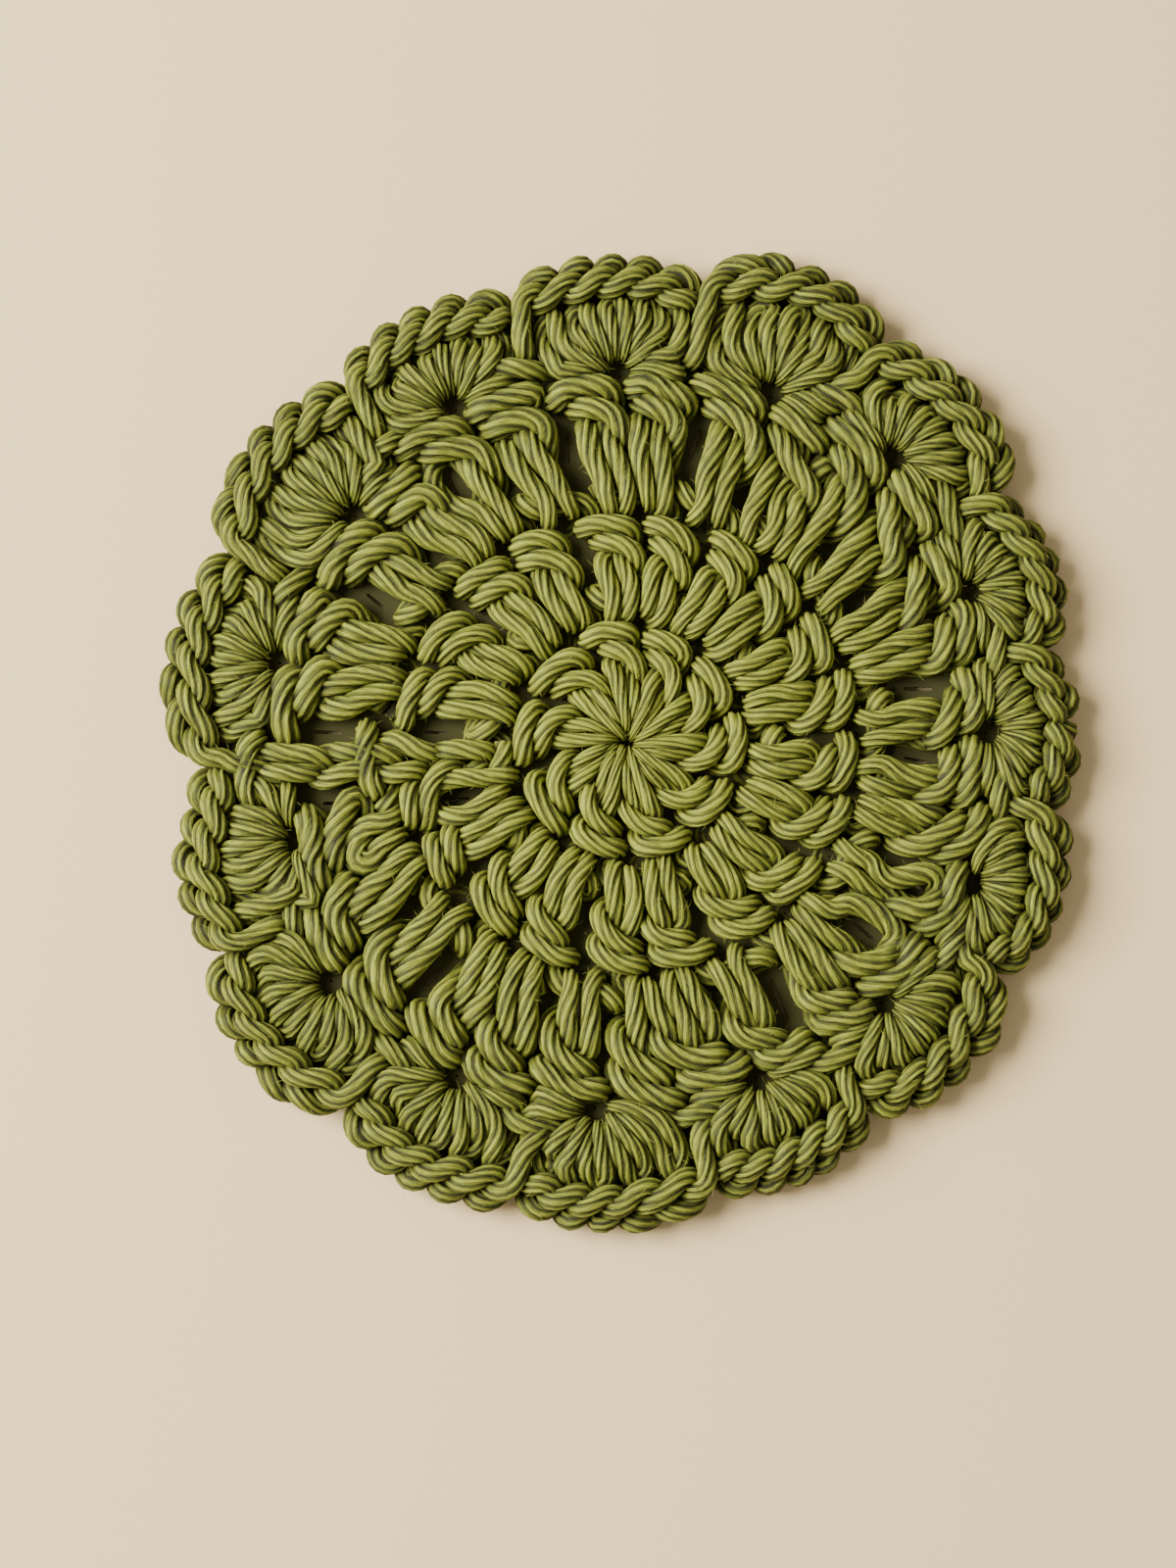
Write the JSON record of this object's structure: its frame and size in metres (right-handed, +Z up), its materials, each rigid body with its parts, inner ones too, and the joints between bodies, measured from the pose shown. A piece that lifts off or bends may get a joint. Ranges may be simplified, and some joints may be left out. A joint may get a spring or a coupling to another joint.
{
  "type": "crochet coaster",
  "caption": "Round crocheted cotton coaster with rounds of tall stitches and a scalloped rim of fan-shaped shells.",
  "frame": {"origin": "under the middle of the coaster's box, at its underside", "axes": "+Z up from the underside to the raised face; +X to the right as seen from above with the seam of chains at the left, at -X"},
  "size_m": [0.1108, 0.1184, 0.0065],
  "materials": {
    "green_cotton": "matt"
  },
  "bodies": {
    "root": {"crochet_coaster": "green_cotton"}
  },
  "joints": []
}
